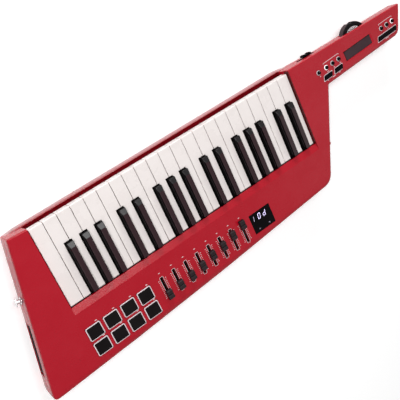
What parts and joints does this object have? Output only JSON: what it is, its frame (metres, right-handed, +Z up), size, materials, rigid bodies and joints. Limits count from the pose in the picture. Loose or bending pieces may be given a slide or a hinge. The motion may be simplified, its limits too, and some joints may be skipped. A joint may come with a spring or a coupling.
{
  "type": "keytar",
  "caption": "Keytar: a gloss red body with hinged piano keys, drum pads, faders and a display window, and a neck with buttons, a touch strip, a slider and a pitch wheel.",
  "frame": {"origin": "under the middle of the whole object, on the surface that it lies on, panel up", "axes": "+X along the neck to its tip, +Y towards the key fronts, +Z up out of the panel"},
  "size_m": [0.8974, 0.2648, 0.0576],
  "materials": {
    "shell_red": "gloss red moulding",
    "key_white": "smooth off-white key plastic",
    "key_black": "satin black key plastic",
    "chassis_metal": "folded sheet",
    "circuit_board": "green circuit board",
    "pad_rubber": "matt black rubber",
    "display_gloss": "dark glossy window",
    "bay_plastic": "dark moulded cup with sockets",
    "button_plastic": "dark satin plastic",
    "cap_plastic": "dark satin cap",
    "wheel_rubber": "ribbed black rim",
    "strap_steel": "turned and plated steel"
  },
  "bodies": {
    "casing": {"upper_shell": "shell_red", "lower_shell": "shell_red", "key_chassis": "chassis_metal", "control_board": "circuit_board", "pad_mat": "pad_rubber", "display_window": "display_gloss", "neck_board": "button_plastic", "jack_panel": "bay_plastic", "strap_button_tail": "strap_steel", "strap_button_neck": "strap_steel"},
    "white_key_01": {"white_key_01": "key_white"},
    "white_key_02": {"white_key_02": "key_white"},
    "white_key_03": {"white_key_03": "key_white"},
    "white_key_04": {"white_key_04": "key_white"},
    "white_key_05": {"white_key_05": "key_white"},
    "white_key_06": {"white_key_06": "key_white"},
    "white_key_07": {"white_key_07": "key_white"},
    "white_key_08": {"white_key_08": "key_white"},
    "white_key_09": {"white_key_09": "key_white"},
    "white_key_10": {"white_key_10": "key_white"},
    "white_key_11": {"white_key_11": "key_white"},
    "white_key_12": {"white_key_12": "key_white"},
    "white_key_13": {"white_key_13": "key_white"},
    "white_key_14": {"white_key_14": "key_white"},
    "white_key_15": {"white_key_15": "key_white"},
    "white_key_16": {"white_key_16": "key_white"},
    "white_key_17": {"white_key_17": "key_white"},
    "white_key_18": {"white_key_18": "key_white"},
    "white_key_19": {"white_key_19": "key_white"},
    "white_key_20": {"white_key_20": "key_white"},
    "white_key_21": {"white_key_21": "key_white"},
    "white_key_22": {"white_key_22": "key_white"},
    "black_key_01": {"black_key_01": "key_black"},
    "black_key_02": {"black_key_02": "key_black"},
    "black_key_03": {"black_key_03": "key_black"},
    "black_key_04": {"black_key_04": "key_black"},
    "black_key_05": {"black_key_05": "key_black"},
    "black_key_06": {"black_key_06": "key_black"},
    "black_key_07": {"black_key_07": "key_black"},
    "black_key_08": {"black_key_08": "key_black"},
    "black_key_09": {"black_key_09": "key_black"},
    "black_key_10": {"black_key_10": "key_black"},
    "black_key_11": {"black_key_11": "key_black"},
    "black_key_12": {"black_key_12": "key_black"},
    "black_key_13": {"black_key_13": "key_black"},
    "black_key_14": {"black_key_14": "key_black"},
    "black_key_15": {"black_key_15": "key_black"},
    "fader_1": {"fader_1": "cap_plastic"},
    "fader_2": {"fader_2": "cap_plastic"},
    "fader_3": {"fader_3": "cap_plastic"},
    "fader_4": {"fader_4": "cap_plastic"},
    "fader_5": {"fader_5": "cap_plastic"},
    "fader_6": {"fader_6": "cap_plastic"},
    "fader_7": {"fader_7": "cap_plastic"},
    "fader_8": {"fader_8": "cap_plastic"},
    "mod_slider": {"mod_slider": "cap_plastic"},
    "pitch_wheel": {"pitch_wheel": "wheel_rubber"},
    "octave_down_button": {"octave_down_button": "button_plastic"},
    "octave_up_button": {"octave_up_button": "button_plastic"},
    "bar_button": {"bar_button": "button_plastic"}
  },
  "joints": [
    {"name": "white_key_01_press", "type": "hinge", "parent": "casing", "child": "white_key_01", "pos_m": [-0.3478, -0.03942, 0.035], "axis": [-1, 0, 0], "range_deg": [0, 3.6], "stiffness_Nm_per_rad": 0.3, "springref_deg": -14.32},
    {"name": "white_key_02_press", "type": "hinge", "parent": "casing", "child": "white_key_02", "pos_m": [-0.3243, -0.03942, 0.035], "axis": [-1, 0, 0], "range_deg": [0, 3.6], "stiffness_Nm_per_rad": 0.3, "springref_deg": -14.32},
    {"name": "white_key_03_press", "type": "hinge", "parent": "casing", "child": "white_key_03", "pos_m": [-0.3008, -0.03942, 0.035], "axis": [-1, 0, 0], "range_deg": [0, 3.6], "stiffness_Nm_per_rad": 0.3, "springref_deg": -14.32},
    {"name": "white_key_04_press", "type": "hinge", "parent": "casing", "child": "white_key_04", "pos_m": [-0.2773, -0.03942, 0.035], "axis": [-1, 0, 0], "range_deg": [0, 3.6], "stiffness_Nm_per_rad": 0.3, "springref_deg": -14.32},
    {"name": "white_key_05_press", "type": "hinge", "parent": "casing", "child": "white_key_05", "pos_m": [-0.2538, -0.03942, 0.035], "axis": [-1, 0, 0], "range_deg": [0, 3.6], "stiffness_Nm_per_rad": 0.3, "springref_deg": -14.32},
    {"name": "white_key_06_press", "type": "hinge", "parent": "casing", "child": "white_key_06", "pos_m": [-0.2303, -0.03942, 0.035], "axis": [-1, 0, 0], "range_deg": [0, 3.6], "stiffness_Nm_per_rad": 0.3, "springref_deg": -14.32},
    {"name": "white_key_07_press", "type": "hinge", "parent": "casing", "child": "white_key_07", "pos_m": [-0.2068, -0.03942, 0.035], "axis": [-1, 0, 0], "range_deg": [0, 3.6], "stiffness_Nm_per_rad": 0.3, "springref_deg": -14.32},
    {"name": "white_key_08_press", "type": "hinge", "parent": "casing", "child": "white_key_08", "pos_m": [-0.1833, -0.03942, 0.035], "axis": [-1, 0, 0], "range_deg": [0, 3.6], "stiffness_Nm_per_rad": 0.3, "springref_deg": -14.32},
    {"name": "white_key_09_press", "type": "hinge", "parent": "casing", "child": "white_key_09", "pos_m": [-0.1598, -0.03942, 0.035], "axis": [-1, 0, 0], "range_deg": [0, 3.6], "stiffness_Nm_per_rad": 0.3, "springref_deg": -14.32},
    {"name": "white_key_10_press", "type": "hinge", "parent": "casing", "child": "white_key_10", "pos_m": [-0.1363, -0.03942, 0.035], "axis": [-1, 0, 0], "range_deg": [0, 3.6], "stiffness_Nm_per_rad": 0.3, "springref_deg": -14.32},
    {"name": "white_key_11_press", "type": "hinge", "parent": "casing", "child": "white_key_11", "pos_m": [-0.1128, -0.03942, 0.035], "axis": [-1, 0, 0], "range_deg": [0, 3.6], "stiffness_Nm_per_rad": 0.3, "springref_deg": -14.32},
    {"name": "white_key_12_press", "type": "hinge", "parent": "casing", "child": "white_key_12", "pos_m": [-0.0893, -0.03942, 0.035], "axis": [-1, 0, 0], "range_deg": [0, 3.6], "stiffness_Nm_per_rad": 0.3, "springref_deg": -14.32},
    {"name": "white_key_13_press", "type": "hinge", "parent": "casing", "child": "white_key_13", "pos_m": [-0.0658, -0.03942, 0.035], "axis": [-1, 0, 0], "range_deg": [0, 3.6], "stiffness_Nm_per_rad": 0.3, "springref_deg": -14.32},
    {"name": "white_key_14_press", "type": "hinge", "parent": "casing", "child": "white_key_14", "pos_m": [-0.0423, -0.03942, 0.035], "axis": [-1, 0, 0], "range_deg": [0, 3.6], "stiffness_Nm_per_rad": 0.3, "springref_deg": -14.32},
    {"name": "white_key_15_press", "type": "hinge", "parent": "casing", "child": "white_key_15", "pos_m": [-0.0188, -0.03942, 0.035], "axis": [-1, 0, 0], "range_deg": [0, 3.6], "stiffness_Nm_per_rad": 0.3, "springref_deg": -14.32},
    {"name": "white_key_16_press", "type": "hinge", "parent": "casing", "child": "white_key_16", "pos_m": [0.0047, -0.03942, 0.035], "axis": [-1, 0, 0], "range_deg": [0, 3.6], "stiffness_Nm_per_rad": 0.3, "springref_deg": -14.32},
    {"name": "white_key_17_press", "type": "hinge", "parent": "casing", "child": "white_key_17", "pos_m": [0.0282, -0.03942, 0.035], "axis": [-1, 0, 0], "range_deg": [0, 3.6], "stiffness_Nm_per_rad": 0.3, "springref_deg": -14.32},
    {"name": "white_key_18_press", "type": "hinge", "parent": "casing", "child": "white_key_18", "pos_m": [0.0517, -0.03942, 0.035], "axis": [-1, 0, 0], "range_deg": [0, 3.6], "stiffness_Nm_per_rad": 0.3, "springref_deg": -14.32},
    {"name": "white_key_19_press", "type": "hinge", "parent": "casing", "child": "white_key_19", "pos_m": [0.0752, -0.03942, 0.035], "axis": [-1, 0, 0], "range_deg": [0, 3.6], "stiffness_Nm_per_rad": 0.3, "springref_deg": -14.32},
    {"name": "white_key_20_press", "type": "hinge", "parent": "casing", "child": "white_key_20", "pos_m": [0.0987, -0.03942, 0.035], "axis": [-1, 0, 0], "range_deg": [0, 3.6], "stiffness_Nm_per_rad": 0.3, "springref_deg": -14.32},
    {"name": "white_key_21_press", "type": "hinge", "parent": "casing", "child": "white_key_21", "pos_m": [0.1222, -0.03942, 0.035], "axis": [-1, 0, 0], "range_deg": [0, 3.6], "stiffness_Nm_per_rad": 0.3, "springref_deg": -14.32},
    {"name": "white_key_22_press", "type": "hinge", "parent": "casing", "child": "white_key_22", "pos_m": [0.1457, -0.03942, 0.035], "axis": [-1, 0, 0], "range_deg": [0, 3.6], "stiffness_Nm_per_rad": 0.3, "springref_deg": -14.32},
    {"name": "black_key_01_press", "type": "hinge", "parent": "casing", "child": "black_key_01", "pos_m": [-0.31584, -0.03942, 0.035], "axis": [-1, 0, 0], "range_deg": [0, 3.6], "stiffness_Nm_per_rad": 0.3, "springref_deg": -14.32},
    {"name": "black_key_02_press", "type": "hinge", "parent": "casing", "child": "black_key_02", "pos_m": [-0.28905, -0.03942, 0.035], "axis": [-1, 0, 0], "range_deg": [0, 3.6], "stiffness_Nm_per_rad": 0.3, "springref_deg": -14.32},
    {"name": "black_key_03_press", "type": "hinge", "parent": "casing", "child": "black_key_03", "pos_m": [-0.26262, -0.03942, 0.035], "axis": [-1, 0, 0], "range_deg": [0, 3.6], "stiffness_Nm_per_rad": 0.3, "springref_deg": -14.32},
    {"name": "black_key_04_press", "type": "hinge", "parent": "casing", "child": "black_key_04", "pos_m": [-0.22114, -0.03942, 0.035], "axis": [-1, 0, 0], "range_deg": [0, 3.6], "stiffness_Nm_per_rad": 0.3, "springref_deg": -14.32},
    {"name": "black_key_05_press", "type": "hinge", "parent": "casing", "child": "black_key_05", "pos_m": [-0.19247, -0.03942, 0.035], "axis": [-1, 0, 0], "range_deg": [0, 3.6], "stiffness_Nm_per_rad": 0.3, "springref_deg": -14.32},
    {"name": "black_key_06_press", "type": "hinge", "parent": "casing", "child": "black_key_06", "pos_m": [-0.15134, -0.03942, 0.035], "axis": [-1, 0, 0], "range_deg": [0, 3.6], "stiffness_Nm_per_rad": 0.3, "springref_deg": -14.32},
    {"name": "black_key_07_press", "type": "hinge", "parent": "casing", "child": "black_key_07", "pos_m": [-0.12455, -0.03942, 0.035], "axis": [-1, 0, 0], "range_deg": [0, 3.6], "stiffness_Nm_per_rad": 0.3, "springref_deg": -14.32},
    {"name": "black_key_08_press", "type": "hinge", "parent": "casing", "child": "black_key_08", "pos_m": [-0.09812, -0.03942, 0.035], "axis": [-1, 0, 0], "range_deg": [0, 3.6], "stiffness_Nm_per_rad": 0.3, "springref_deg": -14.32},
    {"name": "black_key_09_press", "type": "hinge", "parent": "casing", "child": "black_key_09", "pos_m": [-0.05664, -0.03942, 0.035], "axis": [-1, 0, 0], "range_deg": [0, 3.6], "stiffness_Nm_per_rad": 0.3, "springref_deg": -14.32},
    {"name": "black_key_10_press", "type": "hinge", "parent": "casing", "child": "black_key_10", "pos_m": [-0.02797, -0.03942, 0.035], "axis": [-1, 0, 0], "range_deg": [0, 3.6], "stiffness_Nm_per_rad": 0.3, "springref_deg": -14.32},
    {"name": "black_key_11_press", "type": "hinge", "parent": "casing", "child": "black_key_11", "pos_m": [0.01316, -0.03942, 0.035], "axis": [-1, 0, 0], "range_deg": [0, 3.6], "stiffness_Nm_per_rad": 0.3, "springref_deg": -14.32},
    {"name": "black_key_12_press", "type": "hinge", "parent": "casing", "child": "black_key_12", "pos_m": [0.03995, -0.03942, 0.035], "axis": [-1, 0, 0], "range_deg": [0, 3.6], "stiffness_Nm_per_rad": 0.3, "springref_deg": -14.32},
    {"name": "black_key_13_press", "type": "hinge", "parent": "casing", "child": "black_key_13", "pos_m": [0.06638, -0.03942, 0.035], "axis": [-1, 0, 0], "range_deg": [0, 3.6], "stiffness_Nm_per_rad": 0.3, "springref_deg": -14.32},
    {"name": "black_key_14_press", "type": "hinge", "parent": "casing", "child": "black_key_14", "pos_m": [0.10786, -0.03942, 0.035], "axis": [-1, 0, 0], "range_deg": [0, 3.6], "stiffness_Nm_per_rad": 0.3, "springref_deg": -14.32},
    {"name": "black_key_15_press", "type": "hinge", "parent": "casing", "child": "black_key_15", "pos_m": [0.13653, -0.03942, 0.035], "axis": [-1, 0, 0], "range_deg": [0, 3.6], "stiffness_Nm_per_rad": 0.3, "springref_deg": -14.32},
    {"name": "fader_1_slide", "type": "slide", "parent": "casing", "child": "fader_1", "axis": [0, 1, 0], "range_m": [-0.0033, 0.0267]},
    {"name": "fader_2_slide", "type": "slide", "parent": "casing", "child": "fader_2", "axis": [0, 1, 0], "range_m": [-0.0057, 0.0243]},
    {"name": "fader_3_slide", "type": "slide", "parent": "casing", "child": "fader_3", "axis": [0, 1, 0], "range_m": [-0.0075, 0.0225]},
    {"name": "fader_4_slide", "type": "slide", "parent": "casing", "child": "fader_4", "axis": [0, 1, 0], "range_m": [-0.0105, 0.0195]},
    {"name": "fader_5_slide", "type": "slide", "parent": "casing", "child": "fader_5", "axis": [0, 1, 0], "range_m": [-0.0156, 0.0144]},
    {"name": "fader_6_slide", "type": "slide", "parent": "casing", "child": "fader_6", "axis": [0, 1, 0], "range_m": [-0.018, 0.012]},
    {"name": "fader_7_slide", "type": "slide", "parent": "casing", "child": "fader_7", "axis": [0, 1, 0], "range_m": [-0.0237, 0.0063]},
    {"name": "fader_8_slide", "type": "slide", "parent": "casing", "child": "fader_8", "axis": [0, 1, 0], "range_m": [-0.0297, 0.0003]},
    {"name": "mod_slider_slide", "type": "slide", "parent": "casing", "child": "mod_slider", "axis": [1, 0, 0], "range_m": [-0.015, 0.011]},
    {"name": "pitch_wheel_turn", "type": "hinge", "parent": "casing", "child": "pitch_wheel", "pos_m": [0.33145, 0.10058, 0.0349], "axis": [0, 0, 1], "range_deg": [-35, 35], "stiffness_Nm_per_rad": 0.06},
    {"name": "octave_down_button_press", "type": "slide", "parent": "casing", "child": "octave_down_button", "axis": [0, 0, -1], "range_m": [0, 0.0008], "stiffness_N_per_m": 1000, "springref_m": -0.0005},
    {"name": "octave_up_button_press", "type": "slide", "parent": "casing", "child": "octave_up_button", "axis": [0, 0, -1], "range_m": [0, 0.0008], "stiffness_N_per_m": 1000, "springref_m": -0.0005},
    {"name": "bar_button_press", "type": "slide", "parent": "casing", "child": "bar_button", "axis": [0, 0, -1], "range_m": [0, 0.0008], "stiffness_N_per_m": 1000, "springref_m": -0.0005}
  ]
}
